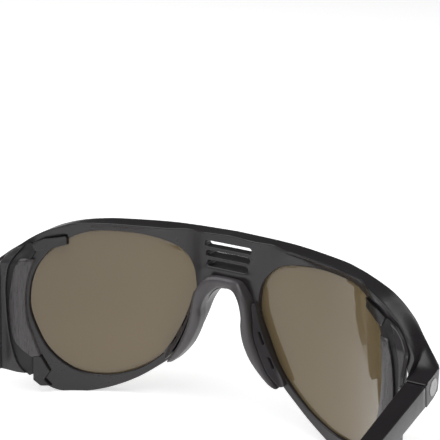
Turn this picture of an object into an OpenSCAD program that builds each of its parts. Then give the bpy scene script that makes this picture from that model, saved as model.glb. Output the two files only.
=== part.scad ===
// Glacier glasses: wrap-around frame, mirrored lenses, soft nose piece, clip-on side shields
// and two folding temples.  X runs across the face, +X is the wearer's left-hand side,
// the front faces -Y, the temples run back along +Y and +Z is up.  Units are millimetres.

/* [Frame front] */
// Overall width across the two hinge corners
frame_w = 153; // [150:1:158]
// Thickness of the rims, front to back
rim_t = 4.5; // [4.2:0.1:5]
// Radius at both ends of the bridge vents
vent_r = 0.9; // [0.7:0.1:1]
// Height between one bridge vent and the next
vent_pitch = 3; // [2.8:0.1:3.2]

/* [Lenses] */
// Lens thickness
lens_t = 2; // [1.6:0.1:2.2]
// How far the lens edge reaches into its groove
lens_grip = 1.2; // [0.8:0.1:1.4]

/* [Temples] */
// Length of a temple from the hinge to the tip
temple_l = 128; // [124:1:132]
// Height of a temple at the hinge
temple_h = 6.7; // [6.2:0.1:7]
// Width of a temple at the hinge
temple_w = 5.7; // [5.4:0.1:6]
// Downward slope of the temples in degrees
temple_slope = 11.8; // [10:0.2:13]

/* [Hinges] */
// Outer radius of the hinge barrel
barrel_r = 1.3; // [1.2:0.05:1.4]
// Shaft radius of the hinge screw
screw_r = 0.6; // [0.5:0.05:0.7]
// Height of the hinge barrel
barrel_h = 3.6; // [3.4:0.1:3.8]

/* [Side shields] */
// Thickness of the shield wing
wing_t = 1.3; // [1:0.1:1.3]
// How far back the wing reaches
wing_y = 48; // [44:1:50]

/* [Hidden] */
$fn = 48;

gap = 0.3;          // space between bodies that move past each other
fit = 0.05;         // radial clearance of a pin in its bore
far = 80;           // longer than anything that it cuts
step = 3;           // curve points between two control points

hinge_x = frame_w / 2 - temple_w - 0.5;  // hinge axis, across
hinge_y = 31;                            // hinge axis, front to back
hinge_z = 5;                             // middle of the hinge, from the lens middle
face_x = 0.5;                            // inner face of temple and end piece, from the axis
peg_r = 1;                               // shield pegs
barrel_drop = 0.7;                       // the barrel sits this far below the middle of the temple

// ---- curves ----
function mix(a, b, c, d, t) = 0.5 * (2 * b + (c - a) * t + (2 * a - 5 * b + 4 * c - d) * t * t
    + (3 * b - a - 3 * c + d) * t * t * t);
function ring_curve(p) = [for (i = [0:len(p) - 1]) for (k = [0:step - 1])
    mix(p[(i + len(p) - 1) % len(p)], p[i], p[(i + 1) % len(p)], p[(i + 2) % len(p)], k / step)];
function open_curve(p) = concat([for (i = [0:len(p) - 2]) for (k = [0:step - 1])
    mix(p[max(i - 1, 0)], p[i], p[i + 1], p[min(i + 2, len(p) - 1)], k / step)], [p[len(p) - 1]]);
function back(p) = [for (i = [len(p) - 1:-1:0]) p[i]];
function flip(p) = [for (q = back(p)) [-q[0], q[1]]];
// Half outline that starts and ends on the middle line, made whole
function both(p) = concat(p, [for (q = flip(p)) if (q[0] < -0.01) q]);
function grow(p, c, e) = [for (q = p) q + (q - c) * e / norm(q - c)];
function shift(p, d) = [for (q = p) q + [0, d]];
// Depth of the lens surface behind the middle of the bridge
function bend(a) = 9.2 * pow(a, 2) + 8.2 * pow(a, 4) + 2.2 * pow(a, 6);
function wrap(x) = bend(min(abs(x), 60) / 59.5) + 0.8 * max(0, abs(x) - 60);
function wrap_line(x0, x1, n = 16) = [for (i = [0:n]) let (x = x0 + (x1 - x0) * i / n) [x, wrap(x)]];

// ---- outlines seen from the front: across, up from the lens middle ----
opening = ring_curve([[13.8, 0], [18.6, -9.4], [25.3, -16.6], [33, -21.6], [41.5, -23.9], [49.5, -22.4],
    [55.8, -15.8], [59.2, -6.5], [60.4, 2], [58.8, 12], [54, 19.2], [46.5, 23.4], [37, 24.2], [27, 23.8],
    [18, 21.8], [12.6, 17], [11, 10.5], [11.6, 5]]);
lens_mid = [36, 0];
rest_z = -29.8;     // the rims are flat underneath, at this height
rim_half = [for (q = open_curve([[0, 28.6], [20, 28.3], [37, 27.4], [50, 26], [57, 22.6], [61, 17], [62.3, 9],
    [62.5, 0], [62, -9], [60.6, -18], [58.2, -25.5], [54, -29.4], [48, -30], [42, -28.8], [36, -26.4],
    [30, -23], [25, -19.3], [20.5, -15.6], [17, -12], [13.5, -7.6], [11, -3.6], [9, 1], [7.2, 5.8],
    [5, 9.4], [2.6, 11.2], [0, 11.6]])) [q[0], max(q[1], rest_z)]];
lift = -rest_z;
brow_half = concat(
    open_curve([[0, 28.6], [20, 28.3], [37, 27.6], [44, 27.2], [50, 26.3], [56, 24.4], [60, 22.4], [63, 20.5],
        [66, 18.5], [70, 15.6], [73.4, 12.6], [76, 10.6]]),
    [[76, 5.4], [71, 6.4]],
    open_curve([[69, 9.6], [66, 13.4], [62, 16.6], [57, 19.6], [50, 23.6], [37, 25.2], [20, 25.4], [0, 25.4]]));

// ---- outlines seen from above: across, back ----
brow_front = open_curve([[0, -3.5], [20, -2.3], [37, 1.6], [44, 4.6], [50, 7.3], [56, 9.1], [60, 10.4],
    [63, 11.7], [66, 13.5], [70, 17], [75, 20.3], [76.4, 22]]);
brow_back = open_curve([[0, 2.5], [20, 3.6], [37, 8], [44, 11.2], [49.5, 13.8], [54, 17.6], [60, 19.8],
    [64, 21.2], [68, 23.4], [70.8, 25.5], [76.4, 26]]);

// ---- solids ----
// Puts the middle of the part's length over the origin and its underside on the ground
module raised() { translate([0, -mid_y, lift]) children(); }
module side(s) { mirror([s < 0 ? 1 : 0, 0, 0]) raised() children(); }
module from_front(p, y0 = -10, y1 = far) {
    translate([0, y1, 0]) rotate([90, 0, 0]) linear_extrude(y1 - y0) polygon(p);
}
module from_above(p) { translate([0, 0, -far]) linear_extrude(2 * far) polygon(p); }
// Everything between two lines seen from above
module layer(front, rear) { from_above(concat(front, back(rear))); }
// Hinge frame: local Y runs back along the temple, local Z is the hinge axis
module at_hinge() { translate([hinge_x, hinge_y, hinge_z]) rotate([-temple_slope, 0, 0]) children(); }
module at_barrel() { at_hinge() translate([0, 0, -barrel_drop]) children(); }
module barrel(r, z0, z1) { translate([0, 0, z0]) cylinder(r = r, h = z1 - z0); }
module along_x(r, x0, x1, y, z) { translate([x0, y, z]) rotate([0, 90, 0]) cylinder(r = r, h = x1 - x0); }
module block(lo, hi) { translate(lo) cube(hi - lo); }

// ---- frame front ----
rim_back = 1.1;     // how far the rims reach behind the lens
rim_front = rim_t - rim_back;
rim_x = 64;         // the rim's depth line ends here, outside the outline
lens_x0 = 7;        // the lens's depth line starts here, inside the nose edge
bridge_x = 9;       // half width of the thick part of the bridge
bridge_front = 2;
bridge_back = 2.6;
vent_l = 8;         // half length of the top vent
vent_z = 24.8;      // height of the top vent
vent_step = 0.5;    // how much shorter each vent is than the one above
end_l = 10.4;       // length of the end piece in front of the hinge
seam = 0.15;        // end piece and temple each stop this far from the hinge axis

module lens_body(e, d) {
    intersection() {
        from_front(grow(opening, lens_mid, lens_grip + e));
        layer(shift(wrap_line(lens_x0, rim_x, 20), -lens_t - d), shift(wrap_line(lens_x0, rim_x, 20), d));
    }
}
module rims() {
    intersection() {
        from_front(both(rim_half));
        union() {
            layer(shift(wrap_line(-rim_x, rim_x, 48), -rim_front), shift(wrap_line(-rim_x, rim_x, 48), rim_back));
            block([-bridge_x, -bridge_front, -far], [bridge_x, bridge_back, far]);
        }
    }
}
module brow() {
    intersection() {
        from_front(both(brow_half));
        layer(concat(flip(brow_front), brow_front), concat(flip(brow_back), brow_back));
    }
}
module end_piece() {
    at_hinge() block([face_x, -end_l, -temple_h / 2], [face_x + temple_w, -seam, temple_h / 2]);
}
module vents() {
    for (k = [0:2]) {
        x = vent_l - vent_step * k - vent_r;
        z = vent_z - vent_pitch * k;
        block([-x, -far, z - vent_r], [x, far, z + vent_r]);
        for (s = [-1, 1]) translate([s * x, far, z]) rotate([90, 0, 0]) cylinder(r = vent_r, h = 2 * far);
    }
}
// Centres of the shield pegs: across, back, up
peg_top = [56, 18.6, 20.6];
peg_low = [56.6, 17.4, -24];
peg_l = 2.2;        // reach of a peg into the rim
module peg(p, r, back_l, front_l) {
    translate(p) rotate([-temple_slope, 0, 0]) translate([0, back_l, 0]) rotate([90, 0, 0])
        cylinder(r = r, h = back_l + front_l);
}
leaf_t = 0.9;
leaf_h = 3.6;
leaf_x = face_x - leaf_t;
head_r = 1.1;
head_h = 0.5;
slot_w = 0.25;
front_leaf = 6.8;   // reach of the leaf on the end piece, from the axis
temple_leaf = 8;    // reach of the leaf on the temple
knuckle = 0.6;      // half height of the middle knuckle
rivet_r = 0.55;
front_rivets = [-5.4, -2.6];
temple_rivets = [3, 6.4];
front_rivet_l = 2.4;
temple_rivet_l = 2;
badge_r = 2.4;
badge_y = -5;
badge_t = 0.6;
proud = 0.1;        // how far the badge stands out of the end piece
// Room round the barrel and its screw head
module hinge_relief() { at_barrel() barrel(barrel_r + gap, -barrel_h / 2 - 2 * gap, barrel_h / 2 + head_h + gap); }
module leaf_recess() {
    at_barrel() block([leaf_x - fit, -front_leaf - fit, -leaf_h / 2 - fit], [face_x, 0, leaf_h / 2 + fit]);
}
module badge_disc(e) {
    at_hinge() along_x(badge_r + e, face_x + temple_w - badge_t, face_x + temple_w + proud + e, badge_y, 0);
}

module front_frame() {
    color([0.13, 0.125, 0.13]) raised() difference() {
        union() {
            rims();
            brow();
            for (s = [-1, 1]) mirror([s < 0 ? 1 : 0, 0, 0]) end_piece();
        }
        vents();
        for (s = [-1, 1]) mirror([s < 0 ? 1 : 0, 0, 0]) {
            from_front(opening);
            lens_body(fit, fit);
            hinge_relief();
            leaf_recess();
            at_barrel() for (y = front_rivets) along_x(rivet_r + fit, 0, face_x + front_rivet_l + fit, y, 0);
            badge_disc(fit);
            for (p = [peg_top, peg_low]) peg(p, peg_r + fit, 6, peg_l + 0.4);
        }
    }
}
module lens(s) { color([0.48, 0.44, 0.38]) side(s) lens_body(0, 0); }

// ---- nose piece ----
saddle_half = concat(
    open_curve([[0, 15.6], [5, 15.3], [8, 13.4], [9.2, 10], [10, 5], [11.1, 0], [13.2, -5], [15.7, -9.8],
        [18.6, -13.8], [19.6, -16]]),
    open_curve([[17, -15], [13.6, -11.4], [10.4, -7], [8, -2], [7, 2], [6.9, 5.4], [5.6, 9], [3, 11.6],
        [0, 12.4]]));
saddle_front = bridge_back + fit;
saddle_back = 7.6;
module nose_saddle() {
    color([0.2, 0.195, 0.2]) raised() intersection() {
        from_front(both(saddle_half));
        layer([[-24, saddle_front], [24, saddle_front]],
            [[-24, saddle_back - 1], [-9, saddle_back], [0, saddle_back - 2.4], [9, saddle_back],
                [24, saddle_back - 1]]);
    }
}
pad_outline = ring_curve([[9.6, 9], [10.3, 5], [11.4, 0], [13.5, -5], [16, -9.6], [18.9, -13.4], [20.7, -15.2],
    [21.8, -14.2], [20.2, -12.4], [17.8, -9.2], [15.4, -4.8], [13.2, 0], [11.4, 5], [10.6, 9]]);
module nose_pad(s) {
    color([0.25, 0.245, 0.25]) side(s) intersection() {
        from_front(pad_outline);
        layer([[9, bridge_back + fit], [26, bridge_back + 1]], [[9, 6], [26, 6.6]]);
    }
}

// ---- hinges ----
module front_hinge(s) {
    color([0.5, 0.5, 0.52]) side(s) at_barrel() difference() {
        union() {
            block([leaf_x, -front_leaf, -leaf_h / 2], [face_x, -barrel_r - gap, leaf_h / 2]);
            for (up = [0, 1]) mirror([0, 0, 1 - up]) {
                barrel(barrel_r, knuckle + 0.1, barrel_h / 2);
                block([leaf_x, -barrel_r - gap, knuckle + 0.1], [face_x, 0, leaf_h / 2]);
            }
        }
        barrel(screw_r + fit, -far, far);
        for (y = front_rivets) along_x(rivet_r + fit, -2, 2, y, 0);
    }
}
module temple_hinge(s) {
    color([0.5, 0.5, 0.52]) side(s) at_barrel() difference() {
        union() {
            block([leaf_x, barrel_r + gap, -leaf_h / 2], [face_x, temple_leaf, leaf_h / 2]);
            barrel(barrel_r, -knuckle, knuckle);
            block([leaf_x, 0, -knuckle], [face_x, barrel_r + gap, knuckle]);
        }
        barrel(screw_r + fit, -far, far);
        for (y = temple_rivets) along_x(rivet_r + fit, -2, 2, y, 0);
    }
}
module hinge_screw(s) {
    color([0.35, 0.35, 0.37]) side(s) at_barrel() difference() {
        union() {
            barrel(screw_r, -barrel_h / 2 - 0.2, barrel_h / 2 + head_h / 2);
            barrel(head_r, barrel_h / 2, barrel_h / 2 + head_h);
        }
        block([-far, -slot_w / 2, barrel_h / 2 + head_h / 2], [far, slot_w / 2, far]);
    }
}
module leaf_screws(s, places, depth) {
    color([0.35, 0.35, 0.37]) side(s) at_barrel() for (y = places) {
        along_x(rivet_r, leaf_x, face_x + depth, y, 0);
        along_x(head_r - 0.25, leaf_x - head_h / 2, leaf_x, y, 0);
    }
}
module badge(s) { color([0.45, 0.44, 0.45]) side(s) badge_disc(0); }

// ---- side shields ----
flange_t = 1.4;
// The shield seen from above, and the seam between its carrier and its panel seen from the front
shield_line = open_curve([[48, 12.2], [52, 14], [57, 18.5], [60, 21.5], [62.4, 23.3], [64.8, 24], [66.8, 24.4],
    [69.4, 25.4]]);
flange_edge = open_curve([[58.6, 20.6], [62.6, 16], [64.4, 9.6], [65, 2], [64.6, -6], [63.2, -14],
    [60.8, -21], [58.8, -26.4]]);
flange_lip = open_curve([[53.4, -26], [52.6, -22.4], [55, -18.6], [58.2, -12.6], [60.4, -5], [61.2, 3],
    [60.4, 10], [57.8, 15.6]]);
clip_outline = [[50.8, 19.2], [51, 22.8], [56.4, 22], [58.2, 20.2], [58.4, 16.8], [55.6, 17]];
clip_t = 1.6;
module shield_carrier(s) {
    color([0.28, 0.275, 0.28]) side(s) {
        intersection() {
            from_front(concat(flange_edge, flange_lip));
            layer(shield_line, shift(shield_line, flange_t));
        }
        intersection() {
            from_front(clip_outline);
            layer(shift(brow_back, gap), shift(brow_back, gap + clip_t));
        }
        peg(peg_top, peg_r, 1.6, peg_l);
        peg(peg_low, peg_r, 3, peg_l);
    }
}
wing_x = hinge_x - 1.2;
wing_y0 = 25.6;
function wing_top(y) = hinge_z - temple_h / 2 / cos(temple_slope) - 0.5 - (y - hinge_y) * tan(temple_slope);
module shield_panel(s) {
    color([0.22, 0.215, 0.22]) side(s) {
        intersection() {
            from_front(concat([for (q = flange_edge) if (q[1] > -23) q + [fit, 0]],
                [[wing_x, -21.4], [wing_x, 13.4], [66.6, 16.6], [63, 19]]));
            layer(shield_line, shift(shield_line, wing_t));
        }
        intersection() {
            block([wing_x - wing_t, wing_y0, -far], [wing_x, wing_y, far]);
            translate([-far, 0, 0]) rotate([90, 0, 90]) linear_extrude(4 * far) polygon(concat(
                [[wing_y0, wing_top(wing_y0)], [wing_y - 1, wing_top(wing_y - 1)]],
                open_curve([[wing_y, -8], [46, -12.6], [41, -17], [34, -20.4], [wing_y0, -21.4]])));
        }
    }
}

// ---- temples, in the hinge frame ----
tip_start = 86;
sock_t = 0.8;
tip_from = 74;      // where the temple starts to bend down
end_r = 3.5;        // rounding at the very end
tip_h = 3.4;        // half height of the tip
// How far the tip drops so that it rests level with the bottom of the rims
tip_drop = (hinge_z + lift - temple_l * sin(temple_slope)) / cos(temple_slope) - tip_h;
function mid_z(y) = y < tip_from ? 0 : -tip_drop * pow((y - tip_from) / (temple_l - tip_from), 1.6);
function rounded(y, l) = y < l - end_r ? 1 : sqrt(max(0.04, 1 - pow((y - l + end_r) / end_r, 2)));
function half_h(y) = y < tip_from ? temple_h / 2 - 0.6 * y / tip_from
    : temple_h / 2 - 0.6 + (tip_h - temple_h / 2 + 0.6) * (y - tip_from) / (temple_l - tip_from);
function inner_x(y) = face_x - 3.2 * pow(y / temple_l, 3);
function half_w(y) = (temple_w - (temple_w - 3.6) * min(1, y / 80)) / 2;
function stations(y0, y1) = concat([for (i = [0:15]) y0 + (y1 - end_r - y0) * i / 15],
    [for (i = [1:5]) y1 - end_r * (1 - sin(18 * i))]);
function side_line(e, y0, y1) = let (n = stations(y0, y1)) concat(
    [for (y = n) [y, mid_z(y) + (half_h(y) - e) * rounded(y, y1)]],
    back([for (y = n) [y, mid_z(y) - (half_h(y) - e) * rounded(y, y1)]]));
function plan_line(e, y0, y1) = let (n = stations(y0, y1)) concat(
    [for (y = n) [inner_x(y) + half_w(y) - (half_w(y) - e) * rounded(y, y1), y]],
    back([for (y = n) [inner_x(y) + half_w(y) + (half_w(y) - e) * rounded(y, y1), y]]));
y_end = hinge_y + max([for (q = side_line(0, seam, temple_l))
    q[0] * cos(temple_slope) + q[1] * sin(temple_slope)]);
mid_y = (y_end + min([for (q = brow_front) q[1]])) / 2;
module temple_form(e, y0, y1) {
    intersection() {
        translate([-far, 0, 0]) rotate([90, 0, 90]) linear_extrude(2 * far) polygon(side_line(e, y0, y1));
        from_above(plan_line(e, y0, y1));
    }
}
module temple_arm(s) {
    color([0.14, 0.135, 0.14]) side(s) difference() {
        at_hinge() difference() {
            temple_form(0, seam, temple_l);
            difference() {
                block([-far, tip_start, -far], [far, 2 * far, far]);
                temple_form(sock_t, tip_start - 6, temple_l - sock_t);
            }
        }
        hinge_relief();
        at_barrel() for (y = temple_rivets) along_x(rivet_r + fit, 0, face_x + temple_rivet_l + fit, y, 0);
    }
}
module temple_tip(s) {
    color([0.08, 0.08, 0.085]) side(s) at_hinge() difference() {
        temple_form(0, seam, temple_l);
        block([-far, -far, -far], [far, tip_start, far]);
        temple_form(sock_t - fit, tip_start - 6, temple_l - sock_t + fit);
    }
}

front_frame();
lens(1);  // left_lens
lens(-1);  // right_lens
nose_saddle();
nose_pad(1);  // left_nose_pad
nose_pad(-1);  // right_nose_pad
front_hinge(1);  // left_front_hinge
front_hinge(-1);  // right_front_hinge
hinge_screw(1);  // left_hinge_screw
hinge_screw(-1);  // right_hinge_screw
leaf_screws(1, front_rivets, front_rivet_l);  // left_front_screws
leaf_screws(-1, front_rivets, front_rivet_l);  // right_front_screws
badge(1);  // left_badge
badge(-1);  // right_badge
shield_carrier(1);  // left_shield_carrier
shield_carrier(-1);  // right_shield_carrier
shield_panel(1);  // left_shield_panel
shield_panel(-1);  // right_shield_panel
temple_arm(1);  // left_temple_arm
temple_arm(-1);  // right_temple_arm
temple_hinge(1);  // left_temple_hinge
temple_hinge(-1);  // right_temple_hinge
leaf_screws(1, temple_rivets, temple_rivet_l);  // left_temple_screws
leaf_screws(-1, temple_rivets, temple_rivet_l);  // right_temple_screws
temple_tip(1);  // left_temple_tip
temple_tip(-1);  // right_temple_tip
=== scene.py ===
import math

import bpy
import numpy as np
from mathutils import Matrix, Vector, geometry


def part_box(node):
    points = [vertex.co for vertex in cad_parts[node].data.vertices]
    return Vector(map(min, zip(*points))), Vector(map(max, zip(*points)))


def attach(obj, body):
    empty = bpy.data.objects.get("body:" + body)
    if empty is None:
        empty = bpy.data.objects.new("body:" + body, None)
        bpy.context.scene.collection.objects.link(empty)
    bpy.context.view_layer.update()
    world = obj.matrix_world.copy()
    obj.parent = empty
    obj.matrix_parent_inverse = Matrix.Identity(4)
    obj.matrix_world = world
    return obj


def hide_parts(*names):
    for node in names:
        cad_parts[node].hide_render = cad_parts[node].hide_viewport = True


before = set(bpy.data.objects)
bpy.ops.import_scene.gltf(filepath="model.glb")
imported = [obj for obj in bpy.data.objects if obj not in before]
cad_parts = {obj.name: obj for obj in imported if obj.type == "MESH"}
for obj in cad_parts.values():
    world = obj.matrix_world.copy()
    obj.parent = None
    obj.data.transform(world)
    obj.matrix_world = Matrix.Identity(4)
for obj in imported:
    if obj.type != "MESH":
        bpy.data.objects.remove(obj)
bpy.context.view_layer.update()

# Everything below is in millimetres: x across (+x is the wearer's left), y back from the lens at the
# bridge, z up from the middle of the lens openings. place() moves it into the frame's metres.
MM = 0.001
BROW_TIP = 3.5          # the brow's middle stands this far in front of y = 0
REST_Z = -29.8          # the rims' flat underside
SHIFT_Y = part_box("front_frame")[0].y / MM + BROW_TIP
SHIFT_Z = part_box("front_frame")[0].z / MM - REST_Z
SLOPE = math.radians(11.8)      # the temples fall this steeply towards their tips
HINGE = (70.3, 31.0, 5.0)       # middle of the left hinge's axis
TEMPLE_L = 128.0        # along the temple, from the hinge's axis
TEMPLE_H = 6.7
TEMPLE_W = 5.7          # at the hinge
FACE_X = 0.5            # inner face of temple and end piece, from the hinge axis
SEAM = 0.15             # half the gap between end piece and temple
TIP_Y = 86.0            # the rubber tip starts here
LENS_T = 2.0
LENS_CROWN = 0.7        # the lens bulges this far forward in the middle
LENS_FIT = 0.12         # and reaches this far into the rim
RIM_BACK = 1.1          # the rim reaches this far behind the lens's rear face
RIM_FRONT = 3.4         # and this far in front of it

# ---- outlines seen from the front: across, up ----
OPENING = [(13.8, 0), (18.6, -9.4), (25.3, -16.6), (33, -21.6), (41.5, -23.9), (49.5, -22.4), (55.8, -15.8),
           (59.2, -6.5), (60.4, 2), (58.8, 12), (54, 19.2), (46.5, 23.4), (37, 24.2), (27, 23.8), (18, 21.8),
           (12.6, 17), (11, 10.5), (11.6, 5)]
LENS_MID = np.array((36.0, 0.0))
BROW_TOP = [(0, 28.6), (20, 28.3), (37, 27.6), (44, 27.2), (50, 26.3), (56, 24.4), (60, 22.4), (63, 20.5),
            (66, 18.5), (70, 15.6), (73.4, 12.6), (75.4, 10.9), (76.5, 10.3)]
END_LOW = 3.9           # underside of the end piece at its front
BROW_UNDER = [(70.8, 6.4), (69, 9.6), (66, 13), (63.6, 14.8), (61.8, 15.4)]
RIM_OUTER = [(61.8, 15.4), (62.3, 9), (62.5, 0), (62, -9), (60.6, -18), (58.2, -25.5), (54, -29.4), (48, -30),
             (42, -28.8), (36, -26.4), (30, -23), (25, -19.3), (20.5, -15.6), (17, -12), (13.5, -7.6),
             (11, -3.6), (9, 1), (7.2, 5.8), (5, 9.4), (2.6, 11.2), (0, 11.6)]
# Where the brow's rear face starts to stand out behind the rim
REAR_LOW = [(0, 22), (11, 20.5), (18, 21.8), (27, 23.8), (37, 24.2), (46.5, 23.4), (54, 19.2), (58.8, 13),
            (62, 10), (66, 8), (71, 4)]
FRONT_LOW = [(0, 25.4), (20, 25.4), (37, 25.2), (50, 23.6), (57, 19.6), (62, 16.6), (66, 13), (71, 6)]
# ---- outlines seen from above: across, back ----
BROW_FRONT = [(0, -3.5), (20, -2.3), (37, 1.6), (44, 4.6), (50, 7.3), (56, 9.1), (60, 10.4), (63, 11.7),
              (66, 13.5), (70, 17), (75, 20.3), (76.5, 22)]
BROW_BACK = [(0, 2.5), (20, 3.6), (37, 8), (44, 11.2), (49.5, 13.6), (51.5, 15.8), (54, 17.5), (60, 19.6),
             (64, 21), (68, 23.2), (70.8, 25.5)]
# How far the brow's top falls from its front edge to its rear edge, near the hinge
BROW_FALL = [(0, 0), (12, 0.5), (24, 0.8), (40, 0.4), (50, 0), (60, 0.5), (64, 0.9), (68, 1.9), (70.2, 3),
             (70.8, 4.2)]


# ---- curves and small helpers ----
def curve(points, closed=False, step=8):
    """A Catmull-Rom curve through the points."""
    p = np.array(points, float)
    n = len(p)
    at = (lambda i: p[i % n]) if closed else (lambda i: p[min(max(i, 0), n - 1)])
    t = np.arange(step)[:, None] / step
    out = []
    for i in range(n if closed else n - 1):
        a, b, c, d = at(i - 1), at(i), at(i + 1), at(i + 2)
        out.append(0.5 * (2 * b + (c - a) * t + (2 * a - 5 * b + 4 * c - d) * t**2
                          + (3 * b - a - 3 * c + d) * t**3))
    if not closed:
        out.append(p[-1:])
    return np.concatenate(out)


def even(line, gap, closed=False):
    """The same line with its points about gap apart."""
    if closed:
        line = np.vstack([line, line[:1]])
    along = np.concatenate([[0], np.cumsum(np.linalg.norm(np.diff(line, axis=0), axis=1))])
    count = max(2, int(round(along[-1] / gap)) + 1)
    at = np.linspace(0, along[-1], count)
    out = np.stack([np.interp(at, along, line[:, k]) for k in range(line.shape[1])], axis=1)
    return out[:-1] if closed else out


def joined(*lines):
    """Lines laid end to end, without the points they share."""
    out = [np.asarray(lines[0], float)]
    for line in lines[1:]:
        out.append(np.asarray(line, float)[1:])
    return np.vstack(out)


def mirrored(half):
    """A half outline that starts and ends on the middle line, made whole."""
    other = half[::-1][1:-1] * (-1, 1)
    return np.vstack([half, other])


def smooth(a, b, x):
    """0 at a, 1 at b and level at both ends; a may be the larger."""
    t = np.clip((x - a) / (b - a), 0, 1)
    return t * t * (3 - 2 * t)


def lookup(points):
    """A function of |x| that follows the curve through the points."""
    line = curve(points)
    return lambda x: np.interp(np.abs(x), line[:, 0], line[:, 1])


def wrap(x):
    """Depth of the lens's rear face behind the bridge."""
    a = np.minimum(np.abs(x), 60) / 59.5
    return 9.2 * a**2 + 8.2 * a**4 + 2.2 * a**6 + 0.8 * np.maximum(0, np.abs(x) - 60)


def inside(points, loop):
    """True for each point within the closed loop."""
    a, b = loop, np.roll(loop, -1, axis=0)
    hit = np.zeros(len(points), bool)
    for (x0, y0), (x1, y1) in zip(a, b):
        if y0 == y1:
            continue
        rows = (points[:, 1] > min(y0, y1)) & (points[:, 1] <= max(y0, y1))
        cross = x0 + (points[:, 1] - y0) * (x1 - x0) / (y1 - y0)
        hit ^= rows & (points[:, 0] < cross)
    return hit


def to_line(points, loop, closed=True):
    """Distance of each point from the loop."""
    a = loop if closed else loop[:-1]
    b = np.roll(loop, -1, axis=0) if closed else loop[1:]
    best = np.full(len(points), 1e9)
    for p, q in zip(a, b):
        run = q - p
        t = np.clip(((points - p) @ run) / max(run @ run, 1e-12), 0, 1)
        best = np.minimum(best, np.linalg.norm(points - p - t[:, None] * run, axis=1))
    return best


def turned(loop, left=True):
    """The loop running counter-clockwise, or clockwise when left is False."""
    x, y = loop.T
    area = np.sum(x * np.roll(y, -1) - np.roll(x, -1) * y)
    return loop if (area > 0) == left else loop[::-1]


# ---- meshes ----
def place(points):
    """Millimetres in the design's frame to metres in the row frame."""
    return (np.asarray(points, float) + (0, SHIFT_Y, SHIFT_Z)) * MM


def at_hinge(points):
    """From the hinge's own frame, y back along the temple and z along the axis, to the design's."""
    x, y, z = np.asarray(points, float).T
    c, s = math.cos(SLOPE), math.sin(SLOPE)
    return np.stack([HINGE[0] + x, HINGE[1] + y * c + z * s, HINGE[2] - y * s + z * c], axis=1)


def add(name, points, faces, body, material, replaces=(), side=1, crease=38):
    """Makes one piece from points in millimetres, mirrored when side is -1, riding on its body."""
    pts = np.asarray(points, float) * (side, 1, 1)
    mesh = bpy.data.meshes.new(name)
    mesh.from_pydata(place(pts).tolist(), [], [tuple(f) if side > 0 else tuple(f)[::-1] for f in faces])
    mesh.validate()
    mesh.update()
    mesh.shade_smooth()
    mesh.set_sharp_from_angle(angle=math.radians(crease))
    mesh.materials.append(material)
    piece = bpy.data.objects.new(name, mesh)
    bpy.context.scene.collection.objects.link(piece)
    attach(piece, body)
    if replaces:
        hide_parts(*replaces)
    return piece


# Where the rings of points beside an edge lie, as shares of the rounding's radius
RING_SHARES = (0.04, 0.16, 0.36, 0.64, 1.0)
WELD = 1e-5             # points closer than this are one


def fill(loops, gap, edges, extra=()):
    """Triangles between an outer loop and its holes, with rings of points along every edge for the
    rounding. Gives the points, the triangles and each point's distance from the nearest edge."""
    loops = [turned(loops[0])] + [turned(h, False) for h in loops[1:]]
    widest = max(edges)
    points, lines = [], []
    for loop in loops:
        start = len(points)
        points += loop.tolist()
        lines += [(start + i, start + (i + 1) % len(loop)) for i in range(len(loop))]
    rings = sorted({round(e * s, 3) for e in edges for s in RING_SHARES})
    near = []
    for loop in loops:
        run = np.roll(loop, -1, axis=0) - np.roll(loop, 1, axis=0)
        run /= np.linalg.norm(run, axis=1)[:, None]
        inward = np.stack([-run[:, 1], run[:, 0]], axis=1)
        for ring in rings:
            moved = loop + inward * ring
            off = np.min([to_line(moved, other) for other in loops], axis=0)
            near.append(moved[off > 0.93 * ring])
    low, high = loops[0].min(0), loops[0].max(0)
    rows = np.arange(low[1] + gap / 3, high[1], gap * 0.866)
    grid = []
    for k, z in enumerate(rows):
        across = np.arange(low[0] + (k % 2) * gap / 2, high[0], gap)
        grid.append(np.stack([across, np.full(len(across), z)], axis=1))
    grid = np.vstack(grid + [np.asarray(e, float) for e in extra])
    off = np.min([to_line(grid, loop) for loop in loops], axis=0)
    keep = (off > widest + 0.35 * gap) & inside(grid, loops[0])
    for hole in loops[1:]:
        keep &= ~inside(grid, hole)
    near = np.vstack(near + [grid[keep]])
    ok = inside(near, loops[0])
    for hole in loops[1:]:
        ok &= ~inside(near, hole)
    points = points + near[ok].tolist()
    made = geometry.delaunay_2d_cdt([Vector(p) for p in points], lines, [], 0, WELD, False)
    flat = np.array([tuple(v) for v in made[0]])
    tris = np.array([f for f in made[2]])
    middle = flat[tris].mean(1)
    ok = inside(middle, loops[0])
    for hole in loops[1:]:
        ok &= ~inside(middle, hole)
    tris = tris[ok]
    a, b, c = flat[tris[:, 0]], flat[tris[:, 1]], flat[tris[:, 2]]
    area = (b[:, 0] - a[:, 0]) * (c[:, 1] - a[:, 1]) - (b[:, 1] - a[:, 1]) * (c[:, 0] - a[:, 0])
    tris = np.where((area < 0)[:, None], tris[:, ::-1], tris)
    used, index = np.unique(tris, return_inverse=True)
    flat, tris = flat[used], index.reshape(-1, 3)
    edge = np.min([to_line(flat, loop) for loop in loops], axis=0)
    return flat, tris, edge


def rounding(edge, radius):
    """How far a rounded edge falls away at this distance from it."""
    if radius <= 0:
        return np.zeros(len(edge))
    d = np.minimum(edge, radius)
    return radius - np.sqrt(np.maximum(0, radius**2 - (radius - d) ** 2))


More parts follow.
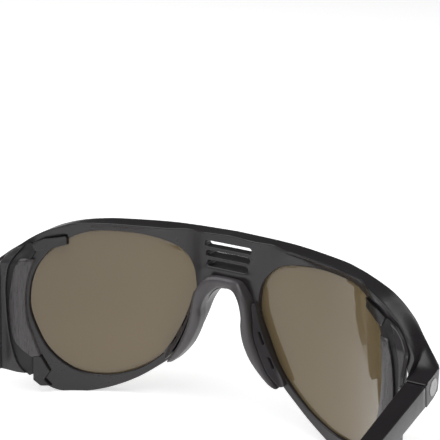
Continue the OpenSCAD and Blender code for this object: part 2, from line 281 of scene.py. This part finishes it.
def plate(loops, front, rear, front_r, rear_r, gap=1.0, rows=4, extra=()):
    """A closed solid between two depths over an outline, with rounded edges. Points come back as
    (across, up, depth)."""
    flat, tris, edge = fill(loops, gap, [r for r in (front_r, rear_r) if r > 0], extra)
    low = front(flat[:, 0], flat[:, 1]) + rounding(edge, front_r)
    high = rear(flat[:, 0], flat[:, 1]) - rounding(edge, rear_r)
    n = len(flat)
    points = [np.column_stack([flat, low]), np.column_stack([flat, high])]
    faces = [tuple(t) for t in tris] + [tuple(t + n)[::-1] for t in tris]
    edges = dict.fromkeys((t[i], t[(i + 1) % 3]) for t in tris for i in range(3))
    rim = [e for e in edges if (e[1], e[0]) not in edges]
    ends = sorted({i for e in rim for i in e})
    col = {i: k for k, i in enumerate(ends)}
    ids = np.array(ends)
    for row in range(1, rows):
        t = row / rows
        points.append(np.column_stack([flat[ids], low[ids] + (high[ids] - low[ids]) * t]))

    def level(i, row):
        if row == 0:
            return i
        if row == rows:
            return i + n
        return 2 * n + (row - 1) * len(ends) + col[i]

    for a, b in rim:
        for row in range(rows):
            faces.append((level(b, row), level(a, row), level(a, row + 1), level(b, row + 1)))
    return np.vstack(points), faces


def upright(points):
    """(across, up, depth) to (x, y, z)."""
    return points[:, (0, 2, 1)]


def merged(parts):
    """Several (points, faces) as one."""
    points, faces, start = [], [], 0
    for p, f in parts:
        points.append(p)
        faces += [tuple(i + start for i in face) for face in f]
        start += len(p)
    return np.vstack(points), faces


def loft(sections):
    """A closed solid through rings of equal length."""
    n = len(sections[0])
    points = np.vstack(sections)
    faces = []
    for k in range(len(sections) - 1):
        for i in range(n):
            j = (i + 1) % n
            faces.append((k * n + i, k * n + j, (k + 1) * n + j, (k + 1) * n + i))
    faces.append(tuple(range(n))[::-1])
    last = (len(sections) - 1) * n
    faces.append(tuple(range(last, last + n)))
    return points, faces


# ---- materials ----
def shader(name, colour, rough, metallic=0.0, **sockets):
    """A Principled material with its node tree and shader."""
    mat = bpy.data.materials.new(name)
    mat.use_nodes = True
    tree = mat.node_tree
    bsdf = tree.nodes["Principled BSDF"]
    bsdf.inputs["Base Color"].default_value = (*colour, 1)
    bsdf.inputs["Roughness"].default_value = rough
    bsdf.inputs["Metallic"].default_value = metallic
    for key, value in sockets.items():
        bsdf.inputs[key.replace("_", " ")].default_value = value
    mat.diffuse_color = (*colour, 1)
    return mat, tree, bsdf


def noise(tree, scale, detail=3.0, stretch=(1, 1, 1)):
    """Noise in object space, scale in cycles per metre."""
    where = tree.nodes.new("ShaderNodeTexCoord")
    mapping = tree.nodes.new("ShaderNodeMapping")
    mapping.inputs["Scale"].default_value = stretch
    made = tree.nodes.new("ShaderNodeTexNoise")
    made.inputs["Scale"].default_value = scale
    made.inputs["Detail"].default_value = detail
    tree.links.new(where.outputs["Object"], mapping.inputs["Vector"])
    tree.links.new(mapping.outputs["Vector"], made.inputs["Vector"])
    return made.outputs["Fac"]


def ramp(tree, factor, low, high):
    """Two colours blended by the middle part of the noise's range."""
    made = tree.nodes.new("ShaderNodeValToRGB")
    for stop, at, colour in zip(made.color_ramp.elements, (0.35, 0.65), (low, high)):
        stop.position = at
        stop.color = (*colour, 1)
    tree.links.new(factor, made.inputs["Fac"])
    return made.outputs["Color"]


def grain(tree, bsdf, factor, height):
    """Adds a bump whose height is in metres."""
    made = tree.nodes.new("ShaderNodeBump")
    made.inputs["Strength"].default_value = 1.0
    made.inputs["Distance"].default_value = height
    tree.links.new(factor, made.inputs["Height"])
    tree.links.new(made.outputs["Normal"], bsdf.inputs["Normal"])


TONE_SPREAD = 0.08      # how much a moulded surface's tone varies
GLOSS_SPREAD = 0.03     # and its roughness


def moulded(name, colour, rough, grain_scale=5200.0, grain_h=3e-6):
    """Moulded plastic: uneven tone and gloss, and the fine grain of a spark-eroded mould."""
    mat, tree, bsdf = shader(name, colour, rough)
    cloud = noise(tree, 90.0, 4.0)
    low = tuple(c * (1 - TONE_SPREAD) for c in colour)
    high = tuple(c * (1 + TONE_SPREAD) for c in colour)
    tree.links.new(ramp(tree, cloud, low, high), bsdf.inputs["Base Color"])
    patch = noise(tree, 240.0, 5.0)
    shiny = (rough - GLOSS_SPREAD,) * 3
    dull = (rough + GLOSS_SPREAD,) * 3
    tree.links.new(ramp(tree, patch, shiny, dull), bsdf.inputs["Roughness"])
    grain(tree, bsdf, noise(tree, grain_scale, 2.0), grain_h)
    return mat


BRUSH_H = 2e-6          # depth of the brushed lines, in metres


def brushed(name, colour, rough, stretch, metallic=0.0):
    """A surface with fine lines along one direction."""
    mat, tree, bsdf = shader(name, colour, rough, metallic)
    lines = noise(tree, 2600.0, 3.0, stretch)
    low = tuple(c * 0.72 for c in colour)
    high = tuple(c * 1.3 for c in colour)
    tree.links.new(ramp(tree, lines, low, high), bsdf.inputs["Base Color"])
    tree.links.new(ramp(tree, lines, (rough - 0.08,) * 3, (rough + 0.1,) * 3), bsdf.inputs["Roughness"])
    grain(tree, bsdf, lines, BRUSH_H)
    return mat


def tinted(name):
    """The lens: a nearly opaque brown-grey with a faint coating."""
    tint = (0.175, 0.132, 0.072)
    mat, tree, bsdf = shader(name, tint, 0.02, Transmission_Weight=0.12, IOR=1.5)
    bsdf.inputs["Coat Weight"].default_value = 0.2
    bsdf.inputs["Coat Roughness"].default_value = 0.03
    low = tuple(c * 0.985 for c in tint)
    high = tuple(c * 1.015 for c in tint)
    tree.links.new(ramp(tree, noise(tree, 30.0, 2.0), low, high), bsdf.inputs["Base Color"])
    return mat


# Colours are linear
M = {
    "frame": moulded("frame_nylon", (0.016, 0.0138, 0.0155), 0.3),
    "temple": moulded("temple_nylon", (0.015, 0.0128, 0.0145), 0.3),
    "saddle": moulded("nose_rubber", (0.066, 0.061, 0.065), 0.36, grain_scale=4200.0),
    "pad": moulded("pad_nylon", (0.03, 0.027, 0.03), 0.36),
    "carrier": brushed("shield_carrier", (0.06, 0.056, 0.059), 0.34, (1, 1, 0.12)),
    # The channel's near-black is painted shade: the recess between flange and panel is drawn darker than the
    # frame's nylon.
    "channel": moulded("shield_channel_painted_shade", (0.008, 0.0075, 0.008), 0.5),
    "clip": moulded("shield_clip", (0.01, 0.0092, 0.01), 0.3),
    # The panel's colour holds painted light: it is lighter than the frame's nylon to make up for the shade
    # the temple casts on it.
    "panel": moulded("shield_panel", (0.03, 0.0275, 0.0297), 0.3),
    "tip": moulded("tip_rubber", (0.014, 0.0135, 0.014), 0.6, grain_scale=3000.0, grain_h=8e-6),
    "steel": brushed("hinge_steel", (0.36, 0.355, 0.35), 0.32, (0.15, 1, 1), metallic=1.0),
    "screw": brushed("screw_steel", (0.2, 0.195, 0.19), 0.36, (1, 0.3, 1), metallic=1.0),
    "badge": brushed("badge", (0.32, 0.315, 0.32), 0.3, (1, 1, 0.2), metallic=0.8),
    "lens": tinted("lens"),
}

# ---- the frame front ----
brow_rear = lookup(BROW_BACK)
brow_fore = lookup(BROW_FRONT)
brow_top = lookup(BROW_TOP)
rear_low = lookup(REAR_LOW)
front_low = lookup(FRONT_LOW)
brow_fall = lookup(BROW_FALL)
INNER_X = HINGE[0] + FACE_X       # inner face of the end piece
STEP_X = 0.02           # the rear face steps from brow to end piece over this width
BRIDGE_BACK = 2.6       # depth of the bridge's flat rear face
ROLL_Z = 17.0           # the bridge's lower edge rolls out at this height
ROLL_H = 0.45
ROLL_W = 1.2
SCOOP = 2.0             # depth of the hollow round the top vent, in front
BROW_ONLY_X = 62.6      # outside this there is only the brow


def rim_rear(x):
    return wrap(x) + RIM_BACK


def rim_fore(x):
    return wrap(x) - RIM_FRONT


def frame_rear(x, z):
    """Depth of the frame front's rear face."""
    bridge = 1 - smooth(8, 15, np.abs(x))
    plain = rim_rear(x) + (BRIDGE_BACK - rim_rear(x)) * bridge
    plain += ROLL_H * np.exp(-(((z - ROLL_Z) / ROLL_W) ** 2)) * (1 - smooth(6, 11, np.abs(x)))
    rise = np.clip((z - rear_low(x)) / (brow_top(x) - 0.5 - rear_low(x)), 0, 1)
    out = plain + (brow_rear(x) - plain) * rise * smooth(14, 22, np.abs(x))
    return np.where(np.abs(x) > INNER_X + STEP_X, HINGE[1] - SEAM, out)


def frame_front(x, z):
    """Depth of the frame front's front face."""
    rise = smooth(-2.0, 1.2, z - front_low(x))
    rise = np.where(np.abs(x) > BROW_ONLY_X, 1, rise)
    out = rim_fore(x) + (brow_fore(x) - rim_fore(x)) * rise
    scoop = (1 - smooth(8.5, 11.5, np.abs(x))) * smooth(21.5, 24, z) * (1 - smooth(25.8, 27.2, z))
    return out + SCOOP * scoop


def vents():
    """The three slots through the bridge, each a little shorter than the one above."""
    out = []
    r = 0.9
    for k in range(3):
        half = 8 - 0.5 * k
        z = 24.8 - 3 * k
        turn = np.linspace(-math.pi / 2, math.pi / 2, 13)
        right = np.stack([half - r + r * np.cos(turn), z + r * np.sin(turn)], axis=1)
        left = (right * (-1, 1))[::-1]
        out.append(even(np.vstack([right, left]), 0.3, closed=True))
    return out


def frame_outline():
    """The frame front's outline, from the brow's middle round the left half and back."""
    end_x, end_z = BROW_TOP[-1]
    start_z = BROW_UNDER[0][1]
    top = even(curve(BROW_TOP), 0.6)
    outer = even(np.array([(end_x, end_z), (end_x, END_LOW)]), 0.6)
    under = even(np.array([(end_x, END_LOW), (INNER_X, END_LOW)]), 0.3)
    inner = even(np.array([(INNER_X, END_LOW), (INNER_X, start_z)]), 0.6)
    brow = even(curve(BROW_UNDER), 0.5)
    brow[0] = (INNER_X, start_z)
    rim = even(curve(RIM_OUTER), 0.6)
    rim[:, 1] = np.maximum(rim[:, 1], REST_Z)
    return mirrored(joined(top, outer, under, inner, brow, rim))


def lens_loop(grow, gap):
    """The lens opening's outline, made larger by grow."""
    line = even(curve(OPENING, closed=True), gap, closed=True)
    away = line - LENS_MID
    return line + away * grow / np.linalg.norm(away, axis=1)[:, None]


UNDER_LINE = curve(BROW_UNDER)[::-1]


def bend_end(points):
    """Lets the brow's top fall towards its rear, and turns the end of the brow into the sloping end
    piece that meets the temple. Takes (across, up, depth) and gives (x, y, z)."""
    x, z, y = points.T
    ax = np.abs(x)
    top = brow_top(x)
    low = np.where(ax > INNER_X - 1e-6, END_LOW,
                   np.interp(ax, UNDER_LINE[:, 0], UNDER_LINE[:, 1]))
    share = np.clip((z - low) / (top - low), -0.1, 1.1)
    fore = brow_fore(x)
    depth = np.maximum(brow_rear(x) - fore, 1)
    deep = np.clip((y - fore) / depth, 0, 1)
    fall = brow_fall(x) * smooth(0, 1, deep)
    slope_top = HINGE[2] + TEMPLE_H / 2 / math.cos(SLOPE) - (y - HINGE[1]) * math.tan(SLOPE)
    slope_low = slope_top - TEMPLE_H / math.cos(SLOPE)
    settle = smooth(0, 1, (y - fore) / (brow_rear(INNER_X) - fore))
    end_top = top + (slope_top - top) * settle
    end_low = low + (slope_low - low) * settle
    end = ax > INNER_X - 1e-6
    new_top = np.where(end, end_top, top - fall)
    new_low = np.where(end, end_low, low)
    bent = new_low + share * (new_top - new_low)
    tilt = np.where(end, (bent - HINGE[2]) * math.tan(SLOPE) * smooth(24, HINGE[1], y), 0)
    weight = smooth(62.2, 63.4, ax)
    brow_only = z - fall * smooth(2.0, 0.5, top - z)
    return np.stack([x, y + tilt, brow_only + (bent - brow_only) * weight], axis=1)


def make_frame():
    loops = [frame_outline()]
    for side in (1, -1):
        loops.append(lens_loop(0, 0.7) * (side, 1))
    loops += vents()
    step_z = np.arange(END_LOW + 0.5, 15.5, 0.45)
    extra = []
    for side in (1, -1):
        for x in (INNER_X, INNER_X + 1.5 * STEP_X):
            extra.append(np.stack([np.full(len(step_z), side * x), step_z], axis=1))
    points, faces = plate(loops, frame_front, frame_rear, 0.7, 0.4, gap=0.9, rows=8, extra=extra)
    add("front_frame_shell", bend_end(points), faces, "front", M["frame"], ["front_frame"])


def make_lens(side):
    who = "left" if side > 0 else "right"

    def rear(x, z):
        off = ((x - LENS_MID[0]) / 26) ** 2 + (z / 25) ** 2
        return wrap(x) - LENS_CROWN * (1 - np.minimum(1, off))

    def front(x, z):
        return rear(x, z) - LENS_T

    points, faces = plate([lens_loop(LENS_FIT, 0.9)], front, rear, LENS_FIT, LENS_FIT, gap=1.3, rows=3)
    add(f"{who}_lens_glass", upright(points), faces, "front", M["lens"], [f"{who}_lens"], side,
        crease=30)


# ---- the nose piece ----
SADDLE_OUTER = [(0, 15.6), (4, 15.4), (6, 14.6), (8.4, 11.5), (9.4, 9), (10.1, 5), (11.2, 0), (13.2, -5),
                (15.7, -9.8), (18.4, -13.6), (19.4, -15.6)]
SADDLE_INNER = [(19.4, -15.6), (17, -14.6), (13.6, -11.2), (10.4, -7), (8, -2), (7, 2), (6.9, 5.4), (5.6, 9),
                (3, 11.6), (0, 12.4)]
PAD_LOOP = [(9.9, 9), (10.6, 5), (11.6, 0), (13.6, -5), (16.1, -9.6), (18.9, -13.4), (20.5, -14.9),
            (21.4, -14.1), (20.6, -12), (18.4, -8.6), (16, -4.4), (13.9, 0), (12, 5), (10.9, 9)]


SINK = 0.05             # the nose pieces start this far inside the frame's rear face


def saddle_rear(x, z):
    """Depth of the saddle's rear face, which stands out most beside the nose."""
    middle = smooth(2, 9, np.abs(x))
    low = smooth(9, 20, np.abs(x))
    return 4.9 + 2.6 * middle - 1.3 * low


def make_saddle():
    outer = even(curve(SADDLE_OUTER), 0.4)
    inner = even(curve(SADDLE_INNER), 0.4)
    loop = mirrored(joined(outer, inner))
    front = lambda x, z: frame_rear(x, np.minimum(z, 14)) - SINK
    points, faces = plate([loop], front, saddle_rear, 0.1, 1.5, gap=0.6, rows=5)
    add("nose_saddle_soft", upright(points), faces, "front", M["saddle"], ["nose_saddle"])


def make_pad(side):
    who = "left" if side > 0 else "right"
    loop = even(curve(PAD_LOOP, closed=True), 0.35, closed=True)
    outer_edge = lambda z: np.interp(z, [-15, -8.6, -4.4, 0, 5, 9], [21.0, 18.4, 16, 13.9, 12, 10.9])
    rear = lambda x, z: 3.9 + 2.2 * np.clip((outer_edge(z) - x) / 2.4, 0, 1)
    front = lambda x, z: frame_rear(x, z) - SINK
    windows = []
    for z0, z1 in ((1.2, -2.6), (-6.2, -9.4)):
        zs = np.linspace(z0, z1, 8)
        a = np.stack([outer_edge(zs) - 1.0, zs], axis=1)
        b = np.stack([outer_edge(zs) - 0.5, zs], axis=1)[::-1]
        windows.append(even(np.vstack([a, b]), 0.3, closed=True))
    points, faces = plate([loop] + windows, front, rear, 0.1, 0.2, gap=0.5, rows=4)
    add(f"{who}_pad_shell", upright(points), faces, "front", M["pad"],
        [f"{who}_nose_pad"], side)


# ---- side shields ----
SHIELD_LINE = [(48, 12.2), (52, 14), (57, 18.5), (60, 21.5), (62.4, 23.3), (64.8, 24), (66.8, 24.4),
               (69.4, 25.4)]
# The flange is a crescent between the lens and a sunk channel beside the panel
FLANGE_EDGE = [(61.8, 15.4), (63.7, 11), (65, 3.5), (65.2, -2), (64.3, -9.9), (61.9, -14), (58.9, -17.4)]
FLANGE_LIP = [(57.4, -17.2), (59, -10.4), (60.3, -4.4), (60.6, 2.6), (60, 9), (58.6, 15)]
PANEL_EDGE = [(62, 19.4), (65.2, 13.4), (66.5, 6.4), (66.3, -1.8), (65.6, -9), (64.4, -14.9), (62.5, -20),
              (60, -23.5)]
CHANNEL_IN = [(60, -23.5), (57.8, -22), (57.8, -17), (61, -13), (63.4, -9), (64.2, -2), (64, 3.5),
              (62.7, 10), (60.6, 12), (59.6, 14.6), (58.4, 18), (59.8, 20), (62, 19.4)]
FOOT = [(58.9, -16.9), (58.9, -25), (57.3, -27.2), (55, -27.4), (56.5, -25), (55.2, -22.4), (57.3, -16.9),
        (58.9, -16.9)]
CLIP = [(50.9, 19.5), (50.9, 22.4), (56.2, 21.6), (59.6, 20), (58.6, 17.4), (55.8, 17.8), (50.9, 19.5)]
FLANGE_T = 1.4
GROOVE = 0.3            # depth of the fine line along the flange
GROOVE_W = 0.2
BEHIND_BROW = 0.35      # where the shield lies against the brow, it stands this far behind it
CHANNEL_Y = (0.1, 0.6)  # front and rear of the channel's floor, behind the flange's front
CLIP_Y = (0.15, 1.35)   # front and rear of the clip, behind the frame's rear face
PANEL_T = 1.3
WING_X = HINGE[0] - 1.35
WING_Y = 48.0           # the wing ends here
CORNER_Y = 25.4         # middle of the corner between the shield's front and its wing
PANEL_LOW = -22.6       # lower end of the panel's edge along the channel
PANEL_FIT = 0.1         # between the panel and the carrier
WING_CUT = 1.4          # the cut corner at the wing's upper end
WING_GAP = 0.5          # between the wing and the temple's underside
shield_y = lookup(SHIELD_LINE)


def polygon(points, gap):
    """A closed outline with sharp corners."""
    p = np.array(points, float)
    return joined(*[even(p[i:i + 2], gap) for i in range(len(p) - 1)])[:-1]


def lean(x, z):
    """How far the shield leans forward at this place, to lie against the brow's rear face."""
    x = np.minimum(x, INNER_X)
    low = np.interp(x, [56, 60, 66, 70.8], [15, 14, 11, 5])
    return np.minimum(0, frame_rear(x, z) + BEHIND_BROW - shield_y(x)) * smooth(0, 5, z - low)


def shield_fore(x, z):
    """Depth of the shield's front face."""
    return shield_y(x) + lean(x, z)


def add_carrier(side, name, shape, look):
    """One piece of the carrier, from (across, up, depth) points and faces."""
    points, faces = shape
    who = "left" if side > 0 else "right"
    add(f"{who}_carrier_{name}", upright(points), faces, f"{who}_shield", M[look],
        [f"{who}_shield_carrier"], side)


def make_flange(side):
    """The brushed crescent beside the lens, with a fine line along it."""
    loop = np.vstack([even(curve(FLANGE_EDGE), 0.5), even(curve(FLANGE_LIP), 0.5)])
    mid = curve([(58.2, -16), (60, -13), (62, -7), (62.7, 2), (62, 10), (60.6, 14.6)])

    def rear(x, z):
        off = to_line(np.stack([x, z], axis=1), mid, False)
        return shield_fore(x, z) + FLANGE_T - GROOVE * np.exp(-((off / GROOVE_W) ** 2))

    add_carrier(side, "flange", plate([loop], shield_fore, rear, 0.2, 0.3, gap=0.55, rows=3), "carrier")


def make_channel(side):
    """The sunk strip between the flange and the panel, coloured darker than the frame as painted shade for
    the recess.
    """
    loop = joined(even(curve(PANEL_EDGE), 0.5), even(curve(CHANNEL_IN), 0.5))[:-1]
    fore = lambda x, z: shield_fore(x, z) + CHANNEL_Y[0]
    rear = lambda x, z: shield_fore(x, z) + CHANNEL_Y[1]
    add_carrier(side, "channel", plate([loop], fore, rear, 0.05, 0.05, gap=0.8, rows=2), "channel")


def make_clip(side):
    """The clip behind the brow and the foot below the flange."""
    fore = lambda x, z: frame_rear(x, z) + CLIP_Y[0]
    rear = lambda x, z: frame_rear(x, z) + CLIP_Y[1]
    clip = plate([polygon(CLIP, 0.4)], fore, rear, 0.15, 0.3, gap=0.7, rows=3)
    foot_rear = lambda x, z: shield_y(x) + FLANGE_T
    foot = plate([polygon(FOOT, 0.4)], lambda x, z: shield_y(x), foot_rear, 0.15, 0.3, gap=0.7, rows=3)
    add_carrier(side, "clip", merged([clip, foot]), "clip")


def wing_top(y):
    """The wing's upper edge, along the temple's underside."""
    return HINGE[2] - TEMPLE_H / 2 / math.cos(SLOPE) - WING_GAP - (y - HINGE[1]) * math.tan(SLOPE)


def panel_path():
    """The shield seen from above: along its front, round the corner and back along the temple. Gives
    the line, the distance along it and its outward side."""
    front = [(x, shield_y(x)) for x in np.arange(58.5, 67.9, 0.5)]
    corner = [(68.45, 25.05), (68.8, 25.4), (WING_X, 26)]
    wing = [(WING_X, y) for y in np.arange(27, WING_Y + 0.6, 1.0)]
    line = even(curve(front + corner + wing, step=4), 0.25)
    along = np.concatenate([[0], np.cumsum(np.linalg.norm(np.diff(line, axis=0), axis=1))])
    run = np.gradient(line, axis=0)
    run /= np.linalg.norm(run, axis=1)[:, None]
    return line, along, np.stack([run[:, 1], -run[:, 0]], axis=1)


def make_panel(side):
    """The panel: flat at first, along and up, then bent along the path and leant against the brow."""
    who = "left" if side > 0 else "right"
    line, along, out = panel_path()
    front = line[:, 1] < CORNER_Y
    wing = line[:, 1] > CORNER_Y
    # distance along the path for a place on the front part, and for a place on the wing
    at_x = lambda x: np.interp(x, line[front, 0], along[front])
    at_y = lambda y: np.interp(y, line[wing, 1], along[wing])
    edge = curve(PANEL_EDGE)
    edge = edge[edge[:, 1] > PANEL_LOW]
    edge = even(np.stack([at_x(edge[:, 0] + PANEL_FIT), edge[:, 1]], axis=1), 0.5)
    low_y = [(26.0, -21.6), (30, -21.1), (36, -19.6), (42, -16), (46.4, -11.6), (WING_Y, -7)]
    bottom = np.array([(at_y(y), z) for y, z in low_y])
    bottom = joined([tuple(edge[-1]), tuple(bottom[0])], curve(bottom))
    cut_y = WING_Y - WING_CUT
    top = [(along[-1], wing_top(WING_Y) - 1.2), (at_y(cut_y), wing_top(cut_y))]
    top += [(at_y(y), wing_top(y)) for y in (40.0, 33.0)]
    top += [(at_y(28.6), 1.6), (at_y(27.8), 7.5), (at_y(26.2), 12.2), (at_x(68.4), 14), (at_x(66.6), 16.2),
            (at_x(64.4), 18.1)]
    top = np.array(top + [tuple(edge[0])])
    end = even(np.array([bottom[-1], top[0]]), 0.6)
    loop = joined(edge, even(bottom, 0.6), end, even(top, 0.6))[:-1]
    outer = lambda u, z: np.zeros(len(u))
    inner = lambda u, z: np.full(len(u), PANEL_T)
    points, faces = plate([loop], outer, inner, 0.25, 0.35, gap=0.7, rows=3)
    u, z, d = points.T
    base = np.stack([np.interp(u, along, line[:, k]) for k in (0, 1)], axis=1)
    normal = np.stack([np.interp(u, along, out[:, k]) for k in (0, 1)], axis=1)
    flat = base - normal * d[:, None]
    flat[:, 1] += lean(base[:, 0], z) * (1 - smooth(25, 28, base[:, 1]))
    add(f"{who}_panel_shell", np.column_stack([flat, z]), faces, f"{who}_shield", M["panel"],
        [f"{who}_shield_panel"], side)


# ---- temples, in the hinge's frame ----
TIP_FROM = 74.0         # the temple starts to bend down here
END_R = 3.5             # rounding of the tip's end
TIP_H = 3.4             # half the tip's height at its end
THINNER = 0.6           # the arm loses this much of its half height before the bend
END_SMALL = 3.6         # width at the thin part
THIN_Y = 80             # where the width has come down to END_SMALL
TIP_IN = 3.2            # the tip's end stands this far inward
TIP_DROP = (HINGE[2] - REST_Z - TEMPLE_L * math.sin(SLOPE)) / math.cos(SLOPE) - TIP_H


def mid_z(y):
    """Height of the temple's middle line."""
    return -TIP_DROP * max(0.0, (y - TIP_FROM) / (TEMPLE_L - TIP_FROM)) ** 1.6


def half_h(y):
    """Half the temple's height."""
    thin = TEMPLE_H / 2 - THINNER
    if y < TIP_FROM:
        return TEMPLE_H / 2 - THINNER * y / TIP_FROM
    return thin + (TIP_H - thin) * (y - TIP_FROM) / (TEMPLE_L - TIP_FROM)


def section(y, trim=0.0, corner=0.55):
    """One ring round the temple: a box with rounded corners, made smaller all round by trim."""
    inner = FACE_X - TIP_IN * (y / TEMPLE_L) ** 3
    width = TEMPLE_W - (TEMPLE_W - END_SMALL) * min(1, y / THIN_Y)
    outer = inner + width
    shut = 1.0
    if y > TEMPLE_L - END_R:
        shut = math.sqrt(max(0.04, 1 - ((y - TEMPLE_L + END_R) / END_R) ** 2))
    hx = (outer - inner) / 2 * shut - trim
    hz = half_h(y) * shut - trim
    cx = (outer + inner) / 2
    r = min(corner, hx * 0.8, hz * 0.8)
    ring = []
    for k, (sx, sz) in enumerate(((1, -1), (1, 1), (-1, 1), (-1, -1))):
        for a in np.linspace(0, math.pi / 2, 6):
            turn = (k - 1) * math.pi / 2 + a
            ring.append((cx + sx * (hx - r) + r * math.cos(turn), y,
                         mid_z(y) + sz * (hz - r) + r * math.sin(turn)))
    return np.array(ring)


def end_rings(y, inward):
    """Three rings that round the corner at the end of a piece; inward is 1 at its start, -1 at its end."""
    rings = [section(y, 0.25), section(y + 0.08 * inward, 0.1), section(y + 0.25 * inward)]
    return rings[::inward]


def make_temple(side):
    """The arm and the rubber tip that is pushed over its end."""
    who = "left" if side > 0 else "right"
    run = [section(y) for y in np.arange(2, TIP_Y - 0.5, 2.0)]
    points, faces = loft(end_rings(SEAM, 1) + run + end_rings(TIP_Y, -1))
    add(f"{who}_temple_shell", at_hinge(points), faces, f"{who}_temple", M["temple"],
        [f"{who}_temple_arm"], side)
    run = [section(y) for y in np.arange(TIP_Y + 1, TEMPLE_L - END_R, 1.0)]
    close = [section(TEMPLE_L - END_R * (1 - math.sin(a))) for a in np.linspace(0, 1.5, 8)]
    points, faces = loft(end_rings(TIP_Y, 1) + run + close)
    add(f"{who}_tip_sock", at_hinge(points), faces, f"{who}_temple", M["tip"],
        [f"{who}_temple_tip"], side)


make_frame()
make_saddle()
for s in (1, -1):
    make_lens(s)
    make_pad(s)
    make_flange(s)
    make_channel(s)
    make_clip(s)
    make_panel(s)
    make_temple(s)

# ---- CAD nodes that stay: hinges, screws and badges ----
KEPT = {"front_hinge": "steel", "temple_hinge": "steel", "hinge_screw": "screw", "front_screws": "screw",
        "temple_screws": "screw", "badge": "badge"}
for who in ("left", "right"):
    for part, look in KEPT.items():
        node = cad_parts[f"{who}_{part}"]
        node.data.materials.clear()
        node.data.materials.append(M[look])

# ---- floor, light and camera ----
FLOOR_HALF = 4.0        # metres
FLOOR_GLOW = 0.6        # the floor's own light, so that it stays near white
floor_mat, _, floor_bsdf = shader("floor", (0.93, 0.93, 0.935), 0.8, Emission_Strength=FLOOR_GLOW)
floor_bsdf.inputs["Emission Color"].default_value = (1, 1, 1, 1)
floor_mesh = bpy.data.meshes.new("floor")
corners = [(x * FLOOR_HALF, y * FLOOR_HALF, 0) for x, y in ((-1, -1), (1, -1), (1, 1), (-1, 1))]
floor_mesh.from_pydata(corners, [], [(0, 1, 2, 3)])
floor_mesh.materials.append(floor_mat)
floor = bpy.data.objects.new("floor", floor_mesh)
bpy.context.scene.collection.objects.link(floor)


def area(name, where, target, size, power):
    """A soft light; places and sizes in metres, power in watts."""
    light = bpy.data.lights.new(name, "AREA")
    light.shape = "RECTANGLE"
    light.size, light.size_y = size
    light.energy = power
    lamp = bpy.data.objects.new(name, light)
    lamp.location = where
    lamp.rotation_euler = (Vector(target) - Vector(where)).to_track_quat("-Z", "Y").to_euler()
    bpy.context.scene.collection.objects.link(lamp)


# The overhead light draws the bright edges, and the strip in front the temple's outer edge
area("overhead", (0.3, 0.8, 1.6), (0.1, 0.2, 0), (2.4, 2.0), 34)
area("side", (-1.6, 0.9, 1.0), (0, 0, 0.03), (1.0, 0.8), 1.3)
area("front_strip", (-0.55, -1.6, 0.97), (0, 0.03, 0.03), (0.8, 0.07), 1.4)
WORLD_LIGHT = 0.1       # low, so that level faces stay dark
world = bpy.data.worlds.new("studio")
world.use_nodes = True
world.node_tree.nodes["Background"].inputs["Color"].default_value = (1, 1, 1, 1)
world.node_tree.nodes["Background"].inputs["Strength"].default_value = WORLD_LIGHT
bpy.context.scene.world = world
bpy.context.scene.view_settings.view_transform = "Standard"

# The camera looks from behind the wearer's right shoulder, a little above
AZ, EL, ROLL = math.radians(29.643), math.radians(15.508), math.radians(1.831)
DISTANCE = 398.5
TARGET = Vector(place([(0, 0, 32.7)])[0])
LENS_MM = 109.05
SHIFT_X = -0.0295       # as a share of the picture's width
back = Vector((-math.sin(AZ) * math.cos(EL), math.cos(AZ) * math.cos(EL), math.sin(EL)))
right = (-back).cross(Vector((0, 0, 1))).normalized()
up = right.cross(-back)
cam_x = right * math.cos(ROLL) + up * math.sin(ROLL)
cam_y = up * math.cos(ROLL) - right * math.sin(ROLL)
camera_data = bpy.data.cameras.new("camera")
camera_data.lens = LENS_MM
camera_data.sensor_width = 36
camera_data.shift_x = SHIFT_X
camera_data.clip_start = 0.01
camera = bpy.data.objects.new("camera", camera_data)
spot = TARGET + back * DISTANCE * MM
camera.matrix_world = Matrix([
    [cam_x.x, cam_y.x, back.x, spot.x],
    [cam_x.y, cam_y.y, back.y, spot.y],
    [cam_x.z, cam_y.z, back.z, spot.z],
    [0, 0, 0, 1],
])
bpy.context.scene.collection.objects.link(camera)
bpy.context.scene.camera = camera
